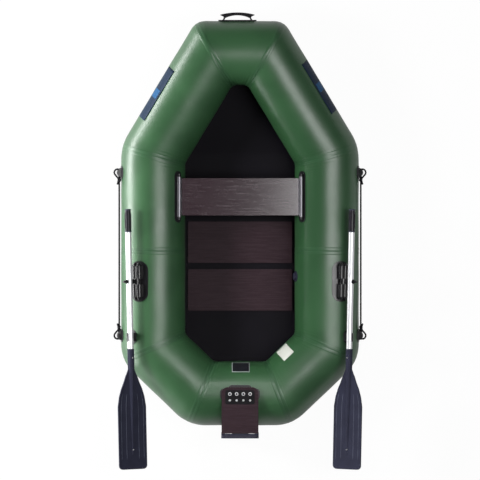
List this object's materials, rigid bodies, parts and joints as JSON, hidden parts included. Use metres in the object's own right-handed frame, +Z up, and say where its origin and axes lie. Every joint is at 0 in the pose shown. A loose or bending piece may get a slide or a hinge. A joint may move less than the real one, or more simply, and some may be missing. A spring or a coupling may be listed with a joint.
{
  "type": "inflatable rowing boat",
  "caption": "Small inflatable rowing boat: ring of green air tubes with a raised bow, bench seat that slides, floor boards, hung motor transom, and oars stowed in tilting oarlocks.",
  "frame": {"origin": "on the ground under the middle of the boat's length and beam, oar blades and bow handle included", "axes": "+X starboard, +Y bow, +Z up"},
  "size_m": [1.3458, 2.4817, 0.437],
  "materials": {
    "tube_fabric": "satin coated PVC fabric",
    "bottom_fabric": "matt coated PVC fabric",
    "plywood": "dark brown varnished film",
    "moulded_rubber": "satin moulded rubber",
    "black_plastic": "satin moulded plastic",
    "oar_tube": "white lacquered aluminium tube",
    "seat_channel": "grey extruded channel",
    "bracket_steel": "zinc plated",
    "line": "braided black line"
  },
  "bodies": {
    "hull": {"bow_tube": "tube_fabric", "port_bow_quarter_tube": "tube_fabric", "starboard_bow_quarter_tube": "tube_fabric", "port_forward_side_tube": "tube_fabric", "starboard_forward_side_tube": "tube_fabric", "port_aft_side_tube": "tube_fabric", "starboard_aft_side_tube": "tube_fabric", "port_stern_quarter_tube": "tube_fabric", "starboard_stern_quarter_tube": "tube_fabric", "stern_tube": "tube_fabric", "bottom_fabric": "bottom_fabric", "forward_floor_board": "plywood", "aft_floor_board": "plywood", "port_seat_rail": "moulded_rubber", "starboard_seat_rail": "moulded_rubber", "port_oarlock_base": "moulded_rubber", "starboard_oarlock_base": "moulded_rubber", "port_oar_clip": "moulded_rubber", "starboard_oar_clip": "moulded_rubber", "port_line_eyelets": "moulded_rubber", "starboard_line_eyelets": "moulded_rubber", "port_grab_line": "line", "starboard_grab_line": "line", "bow_handle": "moulded_rubber", "transom_pad": "moulded_rubber", "transom_plate": "plywood", "motor_board": "plywood", "transom_brackets": "bracket_steel", "inflation_valves": "black_plastic"},
    "seat": {"seat_board": "plywood", "port_seat_track": "seat_channel", "starboard_seat_track": "seat_channel"},
    "port_oarlock": {"port_oarlock_swivel": "black_plastic"},
    "port_oar": {"port_oar_pin": "black_plastic", "port_oar_shaft": "oar_tube", "port_oar_grip": "black_plastic", "port_oar_blade": "black_plastic"},
    "starboard_oarlock": {"starboard_oarlock_swivel": "black_plastic"},
    "starboard_oar": {"starboard_oar_pin": "black_plastic", "starboard_oar_shaft": "oar_tube", "starboard_oar_grip": "black_plastic", "starboard_oar_blade": "black_plastic"}
  },
  "joints": [
    {"name": "seat_slide", "type": "slide", "parent": "hull", "child": "seat", "axis": [0, 1, 0], "range_m": [-0.03, 0.03]},
    {"name": "port_oarlock_tilt", "type": "hinge", "parent": "hull", "child": "port_oarlock", "pos_m": [-0.55895, -0.225, 0.35717], "axis": [-0.0209, 0.9998, 0], "range_deg": [0, 70]},
    {"name": "port_oar_sweep", "type": "hinge", "parent": "port_oarlock", "child": "port_oar", "pos_m": [-0.60039, -0.22587, 0.38513], "axis": [0.8289, 0.0174, -0.5592], "range_deg": [0, 140], "deforming": ["port_oar_clip"]},
    {"name": "starboard_oarlock_tilt", "type": "hinge", "parent": "hull", "child": "starboard_oarlock", "pos_m": [0.55895, -0.225, 0.35717], "axis": [-0.0209, -0.9998, 0], "range_deg": [0, 70]},
    {"name": "starboard_oar_sweep", "type": "hinge", "parent": "starboard_oarlock", "child": "starboard_oar", "pos_m": [0.60039, -0.22587, 0.38513], "axis": [0.8289, -0.0174, 0.5592], "range_deg": [0, 140], "deforming": ["starboard_oar_clip"]}
  ]
}
